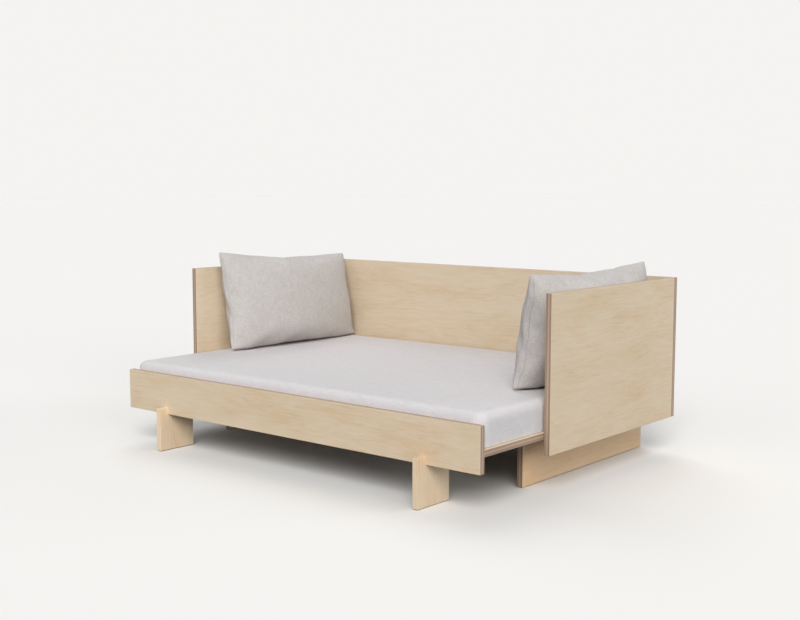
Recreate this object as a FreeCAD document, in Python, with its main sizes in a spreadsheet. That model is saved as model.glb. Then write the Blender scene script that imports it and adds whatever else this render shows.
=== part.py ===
import FreeCAD, Part
import Sketcher
import math
import os

# Pull-out sofa bed of plywood panels, drawn opened out as a bed.
# Millimetres. +X runs along the back panel, +Y points to the back panel, +Z up.
# The origin lies on the floor under the middle of the opened bed.

doc = FreeCAD.newDocument("sofa_bed")
sheet = doc.addObject("Spreadsheet::Sheet", "dims")

DIMENSIONS = {
    # plywood shell
    "ply": 27,
    "arm_height": 800,
    "arm_bottom": 167,
    "arm_depth": 1012,
    "arris": 1,
    # mattress
    "mattress_width": 2016,
    "mattress_depth": 1400,
    "mattress_thickness": 130,
    "mattress_crown": 5,
    "mattress_edge_radius": 34,
    "mattress_corner_radius": 45,
    "mattress_side_gap": 15,
    "mattress_end_gap": 1,
    "back_section_depth": 540,
    "seam_gap": 1,
    "fold_bevel_angle": 38,
    "fold_gap": 1,
    "cover_thickness": 2,
    "soft_gap": 0.4,
    # base panels under the arms
    "base_inset": 164,
    "base_setback": 60,
    "back_lap": 31,
    "lap_clearance": 0.5,
    # platform
    "platform_height": 256,
    "slat_thickness": 27,
    "slat_gap": 6,
    "slide_clearance": 3,
    "slat_rear_gap": 17,
    "slat_front_gap": 12,
    "beam_height": 54,
    "front_beam_setback": 217,
    "ledger_height": 27,
    "batten_width": 45,
    "batten_height": 27,
    "batten_clearance": 5,
    "stop_gap": 1,
    # pull-out front
    "rail_height": 181,
    "leg_inset": 252,
    "leg_depth": 192,
    "leg_nose": 46,
    "leg_lap": 30,
    "rail_ledger_inset": 30,
    # hardware
    "pad_thickness": 3,
    "pad_margin": 3,
    "base_pad_length": 120,
    "screw_diameter": 5,
    "screw_head_diameter": 10,
    "screw_head_height": 3,
    "screw_clearance": 0.1,
    "slat_screw_length": 45,
    "panel_screw_length": 70,
    "panel_screw_margin": 60,
    "bracket_screw_length": 18,
    "bracket_leg": 42,
    "bracket_height": 40,
    "bracket_thickness": 3,
    "bracket_drop": 7,
    # pillows
    "pillow_length": 878,
    "pillow_height": 474,
    "pillow_thickness": 216,
    "pillow_seam": 8,
    "pillow_draw_in": 10,
    "pillow_lean_angle": 10,
    "pillow_rear_gap": 50,
}

for row, (alias, number) in enumerate(DIMENSIONS.items(), start=1):
    sheet.set(f"A{row}", alias.replace("_", " "))
    sheet.set(f"B{row}", str(number))
    sheet.setAlias(f"B{row}", alias)
doc.recompute()

SLAT_COUNT = 21
PANEL_SCREW_COUNT = 5
LEDGER_SCREW_STEP_COUNT = 3


class Size:
    """A length that keeps its formula over the sheet's cells beside its present value."""

    def __init__(self, formula, value):
        self.formula = formula
        self.value = value

    def joined(self, sign, other, value):
        return Size(f"({self.formula} {sign} {other.formula})", value)

    def __add__(self, other):
        other = as_size(other)
        return self.joined("+", other, self.value + other.value)

    def __sub__(self, other):
        other = as_size(other)
        return self.joined("-", other, self.value - other.value)

    def __mul__(self, other):
        other = as_size(other)
        return self.joined("*", other, self.value * other.value)

    def __truediv__(self, other):
        other = as_size(other)
        return self.joined("/", other, self.value / other.value)

    def __neg__(self):
        return self * -1


def as_size(number):
    if isinstance(number, Size):
        return number
    return Size(f"({number})", float(number))


def dim(alias):
    return Size(f"dims.{alias}", float(sheet.get(alias)))


def bind_place(thing, corner):
    for axis, place in zip("xyz", corner):
        thing.setExpression(f"Placement.Base.{axis}", as_size(place).formula)


ZERO = as_size(0)
SAME = 1e-4
ply = dim("ply")
lap_clearance = dim("lap_clearance")

# Widths, measured from the middle plane.
arm_inner = dim("mattress_width") / 2 + dim("mattress_side_gap")
arm_outer = arm_inner + ply
slide_half = arm_inner - dim("slide_clearance")
base_outer = arm_outer - dim("base_inset")
base_inner = base_outer - ply
leg_outer = slide_half - dim("leg_inset")
leg_inner = leg_outer - ply

# Depths. back_face is the front face of the back panel; the bed reaches from it to the rail.
bed_inside = dim("mattress_depth") + dim("mattress_end_gap") * 2
overall_depth = ply + bed_inside + ply + dim("leg_nose")
back_face = overall_depth / 2 - ply
arm_front = back_face - dim("arm_depth")
base_front = arm_front + dim("base_setback")
rail_back = back_face - bed_inside
rail_front = rail_back - ply
leg_front = rail_front - dim("leg_nose")

# The back section of the mattress turns about the middle of its round rear end.
fold_radius = dim("mattress_thickness") / 2
fold_axis = back_face - fold_radius - dim("mattress_crown") - dim("fold_gap")
seam = back_face - dim("mattress_end_gap") - dim("back_section_depth")
travel = fold_axis - fold_radius - dim("fold_gap") - seam

# Heights.
slat_bottom = dim("platform_height") - dim("slat_thickness")
beam_bottom = slat_bottom - dim("beam_height")
beam_lap = slat_bottom - dim("beam_height") / 2
lap_level = dim("arm_bottom") + dim("back_lap")
leg_top = dim("arm_bottom") + dim("leg_lap")
leg_lap_level = dim("arm_bottom") + dim("leg_lap") / 2
pad_top = dim("pad_thickness")

# Cross members.
front_beam_front = arm_front + dim("front_beam_setback")
front_beam_back = front_beam_front + ply
batten_front = front_beam_back + dim("stop_gap")
batten_back = batten_front + dim("batten_width")
rear_beam_front = batten_back + travel + dim("stop_gap")
rear_beam_back = rear_beam_front + ply
fixed_slat_front = rail_back + travel + dim("slat_front_gap")
pullout_slat_back = back_face - travel - dim("slat_rear_gap")

slat_width = (slide_half * 2 - dim("slat_gap") * (SLAT_COUNT - 1)) / SLAT_COUNT
slat_pitch = slat_width + dim("slat_gap")


def slat_left(index):
    return slat_pitch * index - slide_half


def slat_middle(index):
    return slat_left(index) + slat_width / 2


def slat_joint(index):
    """Middle of the gap on the left of a slat."""
    return slat_left(index) - dim("slat_gap") / 2


SUBPARTS = []


def finished(thing, label):
    thing.Label = label
    SUBPARTS.append(thing)
    return thing


# Sheet panels: a rectangle on one of the body's planes, padded, its edges eased, then notched.

PLANE_AXES = {"XY_Plane": (0, 1, 2), "XZ_Plane": (0, 2, 1), "YZ_Plane": (1, 2, 0)}


def rectangle_sketch(body, plane, name, left, low, width, height):
    sketch = body.newObject("Sketcher::SketchObject", name)
    origin_plane = [item for item in body.Origin.OriginFeatures if item.Role == plane][0]
    sketch.AttachmentSupport = (origin_plane, [""])
    sketch.MapMode = "FlatFace"
    right = left.value + width.value
    top = low.value + height.value
    corners = [(left.value, low.value), (right, low.value), (right, top), (left.value, top)]
    points = [FreeCAD.Vector(x, y, 0) for x, y in corners]
    for side in range(4):
        sketch.addGeometry(Part.LineSegment(points[side], points[(side + 1) % 4]), False)
    for side in range(4):
        sketch.addConstraint(Sketcher.Constraint("Coincident", side, 2, (side + 1) % 4, 1))
    for side, kind in enumerate(("Horizontal", "Vertical", "Horizontal", "Vertical")):
        sketch.addConstraint(Sketcher.Constraint(kind, side))
    driven = (
        (("DistanceX", -1, 1, 0, 1), left),
        (("DistanceY", -1, 1, 0, 1), low),
        (("DistanceX", 0, 1, 0, 2), width),
        (("DistanceY", 1, 1, 1, 2), height),
    )
    for geometry, size in driven:
        number = sketch.addConstraint(Sketcher.Constraint(*geometry, size.value))
        sketch.setExpression(f"Constraints[{number}]", size.formula)
    return sketch


def panel(label, plane, low_corner, high_corner, notches=()):
    """A board between two corners. A notch is (left, low, width, height) in the board's own plane."""
    across, up, through = PLANE_AXES[plane]
    spans = [high - low for low, high in zip(low_corner, high_corner)]
    body = doc.addObject("PartDesign::Body", label + "_board")
    outline = rectangle_sketch(body, plane, label + "_outline", ZERO, ZERO, spans[across], spans[up])
    pad = body.newObject("PartDesign::Pad", label + "_pad")
    pad.Profile = outline
    pad.setExpression("Length", spans[through].formula)
    pad.Reversed = plane == "XZ_Plane"
    doc.recompute()
    easing = body.newObject("PartDesign::Chamfer", label + "_arris")
    easing.Base = (pad, ["Edge1"])
    easing.UseAllEdges = True
    easing.setExpression("Size", "dims.arris")
    for number, (left, low, width, height) in enumerate(notches):
        profile = rectangle_sketch(body, plane, f"{label}_notch_{number}", left, low, width, height)
        pocket = body.newObject("PartDesign::Pocket", f"{label}_slot_{number}")
        pocket.Profile = profile
        pocket.Type = "ThroughAll"
        pocket.SideType = "Symmetric"
    bind_place(body, low_corner)
    doc.recompute()
    return body


# Screws: a countersunk head and a plain shank, sunk along a direction from the head's face.

AXES = {
    "+X": FreeCAD.Vector(1, 0, 0), "-X": FreeCAD.Vector(-1, 0, 0),
    "+Y": FreeCAD.Vector(0, 1, 0), "-Y": FreeCAD.Vector(0, -1, 0),
    "-Z": FreeCAD.Vector(0, 0, -1),
}


def screw_solid(spot, heading, length, extra=0.0, mouth=0.0):
    start = FreeCAD.Vector(*(as_size(place).value for place in spot))
    along = AXES[heading]
    head_radius = dim("screw_head_diameter").value / 2 + extra
    shank_radius = dim("screw_diameter").value / 2 + extra
    head_height = dim("screw_head_height").value
    head = Part.makeCone(head_radius, shank_radius, head_height, start, along)
    shank_start = start + along * head_height
    shank = Part.makeCylinder(shank_radius, length.value - head_height + extra, shank_start, along)
    solid = head.fuse(shank)
    if mouth:
        solid = solid.fuse(Part.makeCylinder(head_radius, mouth, start - along * mouth, along))
    return solid.removeSplitter()


class Screws:
    """A group of equal screws and the holes that they need."""

    def __init__(self, label, length):
        self.label = label
        self.length = length
        self.places = []

    def add(self, spot, heading):
        self.places.append((spot, heading))

    def build(self):
        group = doc.addObject("Part::Feature", self.label)
        group.Shape = Part.makeCompound([screw_solid(*place, self.length) for place in self.places])
        finished(group, self.label)

    def holes(self):
        clearance = dim("screw_clearance").value
        return [screw_solid(*place, self.length, clearance, clearance) for place in self.places]


back_screws = Screws("back_panel_screws", dim("panel_screw_length"))
rear_ledger_screws = Screws("rear_ledger_screws", dim("slat_screw_length"))
fixed_slat_screws = Screws("fixed_slat_screws", dim("slat_screw_length"))
bracket_screws = Screws("bracket_screws", dim("bracket_screw_length"))
pullout_slat_screws = Screws("pullout_slat_screws", dim("slat_screw_length"))
rail_ledger_screws = Screws("rail_ledger_screws", dim("slat_screw_length"))
leg_screws = Screws("leg_screws", dim("panel_screw_length"))

ledger_front = back_face - ply
rail_ledger_back = rail_back + ply
slat_screw_row = rail_back + ply / 3
leg_screw_row = rail_back + ply * 2 / 3
beam_middles = (front_beam_front + ply / 2, rear_beam_front + ply / 2)
platform_top = dim("platform_height")
screw_span = dim("arm_height") - dim("arm_bottom") - dim("panel_screw_margin") * 2
screw_rows = screw_span / (PANEL_SCREW_COUNT - 1)

for side in (-1, 1):
    for row in range(PANEL_SCREW_COUNT):
        height = dim("arm_bottom") + dim("panel_screw_margin") + screw_rows * row
        back_screws.add(((arm_inner + ply / 2) * side, back_face + ply, height), "-Y")
for index in range(LEDGER_SCREW_STEP_COUNT, SLAT_COUNT, LEDGER_SCREW_STEP_COUNT):
    rear_height = slat_bottom - dim("ledger_height") / 2
    rear_ledger_screws.add((slat_joint(index), ledger_front, rear_height), "+Y")
    rail_height = (leg_top + slat_bottom) / 2
    rail_ledger_screws.add((slat_joint(index), rail_ledger_back, rail_height), "-Y")
for index in range(1, SLAT_COUNT, 2):
    for middle in beam_middles:
        fixed_slat_screws.add((slat_middle(index), middle, platform_top), "-Z")
for index in range(0, SLAT_COUNT, 2):
    pullout_slat_screws.add((slat_middle(index), slat_screw_row, platform_top), "-Z")
for index in range(2, SLAT_COUNT - 2, 2):
    batten_middle = batten_front + dim("batten_width") / 2
    pullout_slat_screws.add((slat_middle(index), batten_middle, platform_top), "-Z")
for side in (-1, 1):
    leg_screws.add(((leg_inner + ply / 2) * side, leg_screw_row, slat_bottom), "-Z")

bracket_low = slat_bottom - dim("bracket_drop") - dim("bracket_height")
bracket_rows = (bracket_low + dim("bracket_height") / 4, bracket_low + dim("bracket_height") * 3 / 4)
bracket_reach = (dim("bracket_leg") + dim("bracket_thickness")) / 2
for side, heading in ((-1, "-X"), (1, "+X")):
    for beam_back in (front_beam_back, rear_beam_back):
        for height in bracket_rows:
            wall = (arm_inner - dim("bracket_thickness")) * side
            bracket_screws.add((wall, beam_back + bracket_reach, height), heading)
            face = beam_back + dim("bracket_thickness")
            bracket_screws.add(((arm_inner - bracket_reach) * side, face, height), "-Y")


def drilled(board, label, *groups):
    """The board with the holes of the screws that pass through it."""
    reach = board.Shape.BoundBox
    holes = [hole for group in groups for hole in group.holes() if hole.BoundBox.intersect(reach)]
    cutter = doc.addObject("Part::Feature", label + "_holes")
    cutter.Shape = Part.makeCompound(holes)
    cut = doc.addObject("Part::Cut", label)
    cut.Base = board
    cut.Tool = cutter
    return finished(cut, label)


def side_name(side):
    return "right" if side > 0 else "left"


def between(side, inner, outer):
    """Lowest and highest X of a piece that lies from inner to outer on one side."""
    return (inner, outer) if side > 0 else (-outer, -inner)


# Fixed shell: back panel, arms, base panels.

def build_shell():
    notch = ply + lap_clearance * 2
    notch_height = dim("back_lap")
    notches = []
    for side in (-1, 1):
        low = between(side, base_inner, base_outer)[0]
        notches.append((low + arm_outer - lap_clearance, ZERO, notch, notch_height))
    back = panel(
        "back_panel", "XZ_Plane",
        (-arm_outer, back_face, dim("arm_bottom")),
        (arm_outer, back_face + ply, dim("arm_height")), notches)
    drilled(back, "back_panel", back_screws, rear_ledger_screws)
    for side in (-1, 1):
        low, high = between(side, arm_inner, arm_outer)
        name = side_name(side) + "_arm_panel"
        arm = panel(
            name, "YZ_Plane",
            (low, arm_front, dim("arm_bottom")), (high, back_face, dim("arm_height")))
        drilled(arm, name, back_screws, bracket_screws)
    for side in (-1, 1):
        build_base_panel(side)


def build_base_panel(side):
    low, high = between(side, base_inner, base_outer)
    slot = ply + lap_clearance * 2
    base_length = back_face + ply - base_front
    notches = [
        (beam_front - base_front - lap_clearance, beam_lap - pad_top, slot, dim("beam_height"))
        for beam_front in (front_beam_front, rear_beam_front)
    ]
    back_notch = base_length - ply - lap_clearance
    notches.append((back_notch, lap_level - pad_top, slot + ply, dim("beam_height") * 2))
    name = side_name(side) + "_base_panel"
    board = panel(
        name, "YZ_Plane",
        (low, base_front, pad_top), (high, back_face + ply, slat_bottom), notches)
    finished(board, name)


# Cross members of the fixed part.

def build_cross_members():
    slot = ply + lap_clearance * 2
    beams = (("front_cross_beam", front_beam_front), ("rear_cross_beam", rear_beam_front))
    for name, beam_front in beams:
        notches = []
        for side in (-1, 1):
            low = between(side, base_inner, base_outer)[0]
            notches.append((low + arm_inner - lap_clearance, ZERO, slot, dim("beam_height") / 2))
        beam = panel(
            name, "XZ_Plane",
            (-arm_inner, beam_front, beam_bottom), (arm_inner, beam_front + ply, slat_bottom), notches)
        drilled(beam, name, fixed_slat_screws, bracket_screws)
    ledger_half = base_inner - lap_clearance
    ledger = panel(
        "rear_ledger", "XZ_Plane",
        (-ledger_half, ledger_front, slat_bottom - dim("ledger_height")),
        (ledger_half, back_face, slat_bottom))
    drilled(ledger, "rear_ledger", rear_ledger_screws)


def build_slats():
    for index in range(SLAT_COUNT):
        left = slat_left(index)
        right = left + slat_width
        if index % 2:
            name = f"fixed_slat_{(index + 1) // 2}"
            ends = (fixed_slat_front, back_face)
            screws = fixed_slat_screws
        else:
            name = f"pullout_slat_{index // 2 + 1}"
            ends = (rail_back, pullout_slat_back)
            screws = pullout_slat_screws
        slat = panel(
            name, "XY_Plane", (left, ends[0], slat_bottom), (right, ends[1], platform_top))
        drilled(slat, name, screws)


# Pull-out front: rail, legs, ledger and the batten that ties the slats.

def build_front():
    slot = ply + lap_clearance * 2
    notches = []
    for side in (-1, 1):
        low = between(side, leg_inner, leg_outer)[0]
        notches.append((low + slide_half - lap_clearance, ZERO, slot, dim("leg_lap") / 2))
    rail = panel(
        "front_rail", "XZ_Plane",
        (-slide_half, rail_front, dim("arm_bottom")),
        (slide_half, rail_back, dim("arm_bottom") + dim("rail_height")), notches)
    drilled(rail, "front_rail", rail_ledger_screws)
    for side in (-1, 1):
        low, high = between(side, leg_inner, leg_outer)
        name = side_name(side) + "_front_leg"
        slot_front = dim("leg_nose") - lap_clearance
        notch = (slot_front, leg_lap_level - pad_top, slot, dim("leg_lap"))
        leg = panel(
            name, "YZ_Plane",
            (low, leg_front, pad_top), (high, leg_front + dim("leg_depth"), leg_top), [notch])
        drilled(leg, name, leg_screws)
    ledger_half = slide_half - dim("rail_ledger_inset")
    ledger = panel(
        "rail_ledger", "XZ_Plane",
        (-ledger_half, rail_back, leg_top), (ledger_half, rail_ledger_back, slat_bottom))
    drilled(ledger, "rail_ledger", rail_ledger_screws, pullout_slat_screws, leg_screws)
    batten_half = base_inner - dim("batten_clearance")
    batten = panel(
        "pullout_batten", "XY_Plane",
        (-batten_half, batten_front, slat_bottom - dim("batten_height")),
        (batten_half, batten_back, slat_bottom))
    drilled(batten, "pullout_batten", pullout_slat_screws)


# Steel angle brackets between beams and arms.

def bracket_solid(side, beam_back):
    leg = dim("bracket_leg").value
    wall = dim("bracket_thickness").value
    outline = [(0, 0), (leg, 0), (leg, wall), (wall, wall), (wall, leg), (0, leg)]
    points = [
        FreeCAD.Vector(side * (arm_inner.value - across), beam_back.value + along, bracket_low.value)
        for across, along in outline
    ]
    face = Part.Face(Part.makePolygon(points + points[:1]))
    return face.extrude(FreeCAD.Vector(0, 0, dim("bracket_height").value))


def build_brackets():
    blank = doc.addObject("Part::Feature", "bracket_blanks")
    blank.Shape = Part.makeCompound([
        bracket_solid(side, beam_back)
        for side in (-1, 1) for beam_back in (front_beam_back, rear_beam_back)
    ])
    drilled(blank, "arm_brackets", bracket_screws)


# Felt pads under the panels that stand on the floor.

def pad_strip(name, side, inner, outer, front, length):
    low, high = between(side, inner + dim("pad_margin"), outer - dim("pad_margin"))
    strip = doc.addObject("Part::Box", name)
    strip.setExpression("Length", (high - low).formula)
    strip.setExpression("Width", length.formula)
    strip.setExpression("Height", pad_top.formula)
    bind_place(strip, (low, front, ZERO))
    return strip


def build_pads():
    base_strips = []
    leg_strips = []
    for side in (-1, 1):
        margin = dim("pad_margin")
        length = dim("base_pad_length")
        rear = back_face + ply - margin - length
        name = side_name(side)
        for end, front in (("front", base_front + margin), ("rear", rear)):
            base_strips.append(
                pad_strip(f"{name}_{end}_strip", side, base_inner, base_outer, front, length))
        leg_length = dim("leg_depth") - margin * 2
        leg_strips.append(
            pad_strip(f"{name}_leg_strip", side, leg_inner, leg_outer, leg_front + margin, leg_length))
    for label, strips in (("base_felt_pads", base_strips), ("leg_felt_pads", leg_strips)):
        group = doc.addObject("Part::Compound", label)
        group.Links = strips
        finished(group, label)


# Mattress: a foam core in a fabric cover, cut into a seat section and a back section.

def arc(first, middle, last):
    return Part.Arc(FreeCAD.Vector(*first), FreeCAD.Vector(*middle), FreeCAD.Vector(*last)).toShape()


def line(first, last):
    return Part.makeLine(FreeCAD.Vector(*first), FreeCAD.Vector(*last))


def crown_height(y, inset):
    """Top of the mattress at a depth y: an arc over its whole depth."""
    half = dim("mattress_depth").value / 2
    middle = back_face.value - dim("mattress_end_gap").value - half
    crown = dim("mattress_crown").value
    radius = (half ** 2 + crown ** 2) / (2 * crown)
    rise = math.sqrt(radius ** 2 - (y - middle) ** 2) - (radius - crown)
    return platform_top.value + dim("mattress_thickness").value + rise - inset


def seat_section(inset):
    """Seat section inside its cover by inset: eased box with a crowned top."""
    half = dim("mattress_width").value / 2 - inset
    front = rail_back.value + dim("mattress_end_gap").value + inset
    rear = seam.value - dim("seam_gap").value / 2 - inset
    low = platform_top.value + inset
    middle = (front + rear) / 2
    top = [(-half, y, crown_height(y, inset)) for y in (front, middle, rear)]
    outline = Part.Wire([
        line((-half, front, low), (-half, front, top[0][2])),
        arc(*top),
        line(top[2], (-half, rear, low)),
        line((-half, rear, low), (-half, front, low)),
    ])
    block = Part.Face(outline).extrude(FreeCAD.Vector(2 * half, 0, 0))
    corner = dim("mattress_corner_radius").value - inset
    upright = [
        edge for edge in block.Edges
        if edge.BoundBox.XLength < SAME and abs(edge.BoundBox.YMax - front) < SAME
    ]
    block = block.makeFillet(corner, upright)
    return eased_rim(block, rear, dim("mattress_edge_radius").value - inset)


def eased_rim(block, open_end, radius):
    """Rounds the top rim of a section except where it meets the other section."""
    top_face = max(block.Faces, key=lambda face: face.CenterOfMass.z)
    rim = [edge for edge in top_face.Edges if abs(edge.CenterOfMass.y - open_end) > SAME]
    return block.makeFillet(radius, rim)


def back_section(inset):
    """Back section: round rear end, flat underside, bevelled end that clears the seat as it folds."""
    half = dim("mattress_width").value / 2 - inset
    front = seam.value + dim("seam_gap").value / 2 + inset
    low = platform_top.value + inset
    radius = fold_radius.value - inset
    axis_y = fold_axis.value
    axis_z = platform_top.value + fold_radius.value
    top_front = crown_height(front, inset)
    bevel = (top_front - low) * math.tan(math.radians(dim("fold_bevel_angle").value))
    slant = math.sqrt(0.5) * radius
    top_middle = (front + axis_y) / 2
    x = -half
    crest = axis_z + radius
    start = (x, front, top_front)
    outline = Part.Wire([
        arc(start, (x, top_middle, crown_height(top_middle, inset)), (x, axis_y, crest)),
        arc((x, axis_y, crest), (x, axis_y + slant, axis_z + slant), (x, axis_y + radius, axis_z)),
        arc((x, axis_y + radius, axis_z), (x, axis_y + slant, axis_z - slant), (x, axis_y, low)),
        line((x, axis_y, low), (x, front + bevel, low)),
        line((x, front + bevel, low), start),
    ])
    block = Part.Face(outline).extrude(FreeCAD.Vector(2 * half, 0, 0))
    bevel_middle = front + bevel / 2
    rims = [
        edge for edge in block.Edges
        if edge.BoundBox.XLength < SAME and abs(edge.CenterOfMass.y - bevel_middle) > SAME
    ]
    return block.makeFillet(dim("mattress_edge_radius").value - inset, rims)


def cover_and_core(label, core_name, outer, inner):
    core = doc.addObject("Part::Feature", f"{label}_{core_name}")
    core.Shape = inner
    cover = doc.addObject("Part::Feature", label + "_cover")
    cover.Shape = outer.cut(inner)
    finished(core, f"{label}_{core_name}")
    finished(cover, label + "_cover")


def build_mattress():
    wall = dim("cover_thickness").value
    cover_and_core("seat_mattress", "foam", seat_section(0.0), seat_section(wall))
    cover_and_core("back_mattress", "foam", back_section(0.0), back_section(wall))


# Pillows: two sewn panels, full in the middle, with thin corners and sides that draw in.

# Along the pillow's length: share of the length, and share of the full thickness there.
PILLOW_STATIONS = (
    (0.0, 0.2), (0.06, 0.52), (0.2, 0.85), (0.5, 1.0), (0.8, 0.85), (0.94, 0.52), (1.0, 0.2))


def pillow_solid(inset):
    length = dim("pillow_length").value - 2 * inset
    sections = []
    for share, fullness in PILLOW_STATIONS:
        draw = dim("pillow_draw_in").value * (1 - (2 * share - 1) ** 4)
        half_height = dim("pillow_height").value / 2 - draw - inset
        half_thickness = dim("pillow_thickness").value / 2 * fullness - inset / 2
        seam_half = dim("pillow_seam").value / 2 - inset / 2
        y = (share - 0.5) * length
        low, high = -half_height, half_height
        sections.append(Part.Wire([
            arc((seam_half, y, low), (half_thickness, y, 0), (seam_half, y, high)),
            line((seam_half, y, high), (-seam_half, y, high)),
            arc((-seam_half, y, high), (-half_thickness, y, 0), (-seam_half, y, low)),
            line((-seam_half, y, low), (seam_half, y, low)),
        ]))
    return Part.makeLoft(sections, True, False)


def build_pillows():
    wall = dim("cover_thickness").value
    gap = dim("soft_gap").value
    top = platform_top.value + dim("mattress_thickness").value + dim("mattress_crown").value
    rear = back_face.value - dim("pillow_rear_gap").value
    for side in (-1, 1):
        shapes = [pillow_solid(0.0), pillow_solid(wall)]
        turn = FreeCAD.Rotation(FreeCAD.Vector(0, 1, 0), side * dim("pillow_lean_angle").value)
        for shape in shapes:
            shape.Placement = FreeCAD.Placement(FreeCAD.Vector(0, 0, 0), turn)
        box = shapes[0].optimalBoundingBox(False, False)
        across = arm_inner.value - gap - box.XMax if side > 0 else -arm_inner.value + gap - box.XMin
        shift = FreeCAD.Vector(across, rear - box.YMax, top + gap - box.ZMin)
        for shape in shapes:
            shape.translate(shift)
        cover_and_core(side_name(side) + "_pillow", "insert", *shapes)


build_shell()
build_cross_members()
build_slats()
build_front()
build_brackets()
build_pads()
for screw_group in (
        back_screws, rear_ledger_screws, fixed_slat_screws, bracket_screws,
        pullout_slat_screws, rail_ledger_screws, leg_screws):
    screw_group.build()
build_mattress()
build_pillows()
doc.recompute()

for thing in doc.Objects:
    if "Invalid" in thing.State or "Error" in thing.State:
        raise RuntimeError(f"{thing.Label} failed: {thing.State}")
for thing in SUBPARTS:
    if thing.Shape.isNull() or not thing.Shape.isValid():
        raise RuntimeError(f"{thing.Label} has no valid shape")

os.makedirs("parts", exist_ok=True)
for thing in SUBPARTS:
    thing.Shape.exportStep(f"parts/{thing.Label}.step")
    print(thing.Label, len(thing.Shape.Solids), round(thing.Shape.Volume / 1000, 1))
print("travel", travel.value, "fold axis", fold_axis.value, platform_top.value + fold_radius.value)
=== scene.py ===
# %% [markdown]
# # A plywood sofa bed, opened out
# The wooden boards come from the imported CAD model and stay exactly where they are. This lesson gives
# them their birch faces and layered edges, sews and fills the two pillows, pads the mattress, and sets
# the plain studio round the bed. Everything is in metres, in the CAD model's own frame: +X along the
# back panel, +Y towards it, +Z up.

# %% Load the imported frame
import math

import bmesh
import bpy
import numpy as np
from mathutils import Matrix, Vector


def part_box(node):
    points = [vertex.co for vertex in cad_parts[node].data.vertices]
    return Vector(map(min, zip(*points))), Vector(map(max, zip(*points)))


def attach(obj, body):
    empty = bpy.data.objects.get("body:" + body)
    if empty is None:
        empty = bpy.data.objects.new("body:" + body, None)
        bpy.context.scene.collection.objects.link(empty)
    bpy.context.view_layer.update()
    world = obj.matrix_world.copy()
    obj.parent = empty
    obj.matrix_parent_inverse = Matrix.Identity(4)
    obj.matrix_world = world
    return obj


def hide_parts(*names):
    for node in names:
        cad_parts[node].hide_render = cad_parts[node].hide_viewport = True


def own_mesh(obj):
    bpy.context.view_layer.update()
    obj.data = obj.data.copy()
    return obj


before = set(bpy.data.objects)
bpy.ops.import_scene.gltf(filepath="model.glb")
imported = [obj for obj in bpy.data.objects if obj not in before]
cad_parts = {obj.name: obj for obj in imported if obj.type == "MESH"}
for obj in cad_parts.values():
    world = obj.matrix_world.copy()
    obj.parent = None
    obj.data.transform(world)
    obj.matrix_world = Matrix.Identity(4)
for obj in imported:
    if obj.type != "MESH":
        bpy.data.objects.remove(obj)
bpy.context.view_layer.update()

# %% [markdown]
# ## The eye
# The camera comes first, because every later decision is judged through it. Its place follows from the
# edges of the boards: parallel edges of known length fix the distance, the turn and the focal length.
# The lens is given in pixels of an 800 x 620 picture and turned into millimetres of a 36 mm sensor.

# %% Camera
PICTURE_WIDTH = 800
SENSOR_MM = 36.0
FOCAL_PIXELS = 1167.2
EYE = (3.4473, -4.0668, 1.2160)
TURN = math.radians(40.06)
LOOK_DOWN = math.radians(6.18)
FRAME_SHIFT = (0.0056, 0.0006)

bpy.ops.object.select_all(action="DESELECT")
bpy.ops.object.camera_add(location=EYE, rotation=(math.radians(90) - LOOK_DOWN, 0, TURN))
camera = bpy.context.object
camera.name = "eye"
camera.data.sensor_fit = "HORIZONTAL"
camera.data.sensor_width = SENSOR_MM
camera.data.lens = FOCAL_PIXELS / PICTURE_WIDTH * SENSOR_MM
camera.data.shift_x, camera.data.shift_y = FRAME_SHIFT
bpy.context.scene.camera = camera
print("lens", round(camera.data.lens, 2), "mm")

# %% [markdown]
# ## Writing materials as sums
# A finish is a small calculation over the surface: where am I on the board, which layer is that, how
# dark is the grain there. Node trees say that with boxes and wires. The class below wraps one output
# socket, so the same calculation can be written as ordinary Python: a sum of two shades adds a Math
# node, and every other kind of node comes from one method.

# %% Shades
class Shade:
    """One output socket of a material. Sums and products of shades add Math nodes."""

    def __init__(self, socket):
        self.socket = socket

    def node(self, kind, settings=None, sockets=None, output=0):
        """Adds a node to the same material, sets it up and returns one of its outputs."""
        tree = self.socket.id_data
        node = tree.nodes.new(kind)
        for name, value in (settings or {}).items():
            setattr(node, name, value)
        for name, value in (sockets or {}).items():
            if isinstance(value, Shade):
                tree.links.new(value.socket, node.inputs[name])
            else:
                node.inputs[name].default_value = value
        return Shade(node.outputs[output])

    def calculate(self, operation, first, second):
        return self.node("ShaderNodeMath", {"operation": operation}, {0: first, 1: second})

    def __add__(self, other):
        return self.calculate("ADD", self, other)

    def __radd__(self, other):
        return self.calculate("ADD", other, self)

    def __sub__(self, other):
        return self.calculate("SUBTRACT", self, other)

    def __rsub__(self, other):
        return self.calculate("SUBTRACT", other, self)

    def __mul__(self, other):
        return self.calculate("MULTIPLY", self, other)

    def __rmul__(self, other):
        return self.calculate("MULTIPLY", other, self)

    def __truediv__(self, other):
        return self.calculate("DIVIDE", self, other)

    def __rtruediv__(self, other):
        return self.calculate("DIVIDE", other, self)

    def __abs__(self):
        return self.calculate("ABSOLUTE", self, 0.0)


# %% Colours and finishes
def srgb(red, green, blue):
    """A colour as picked on a screen, turned into the linear values that shaders use."""
    linear = []
    for level in (red, green, blue):
        share = level / 255
        linear.append(share / 12.92 if share <= 0.04045 else ((share + 0.055) / 1.055) ** 2.4)
    return (*linear, 1.0)


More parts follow.
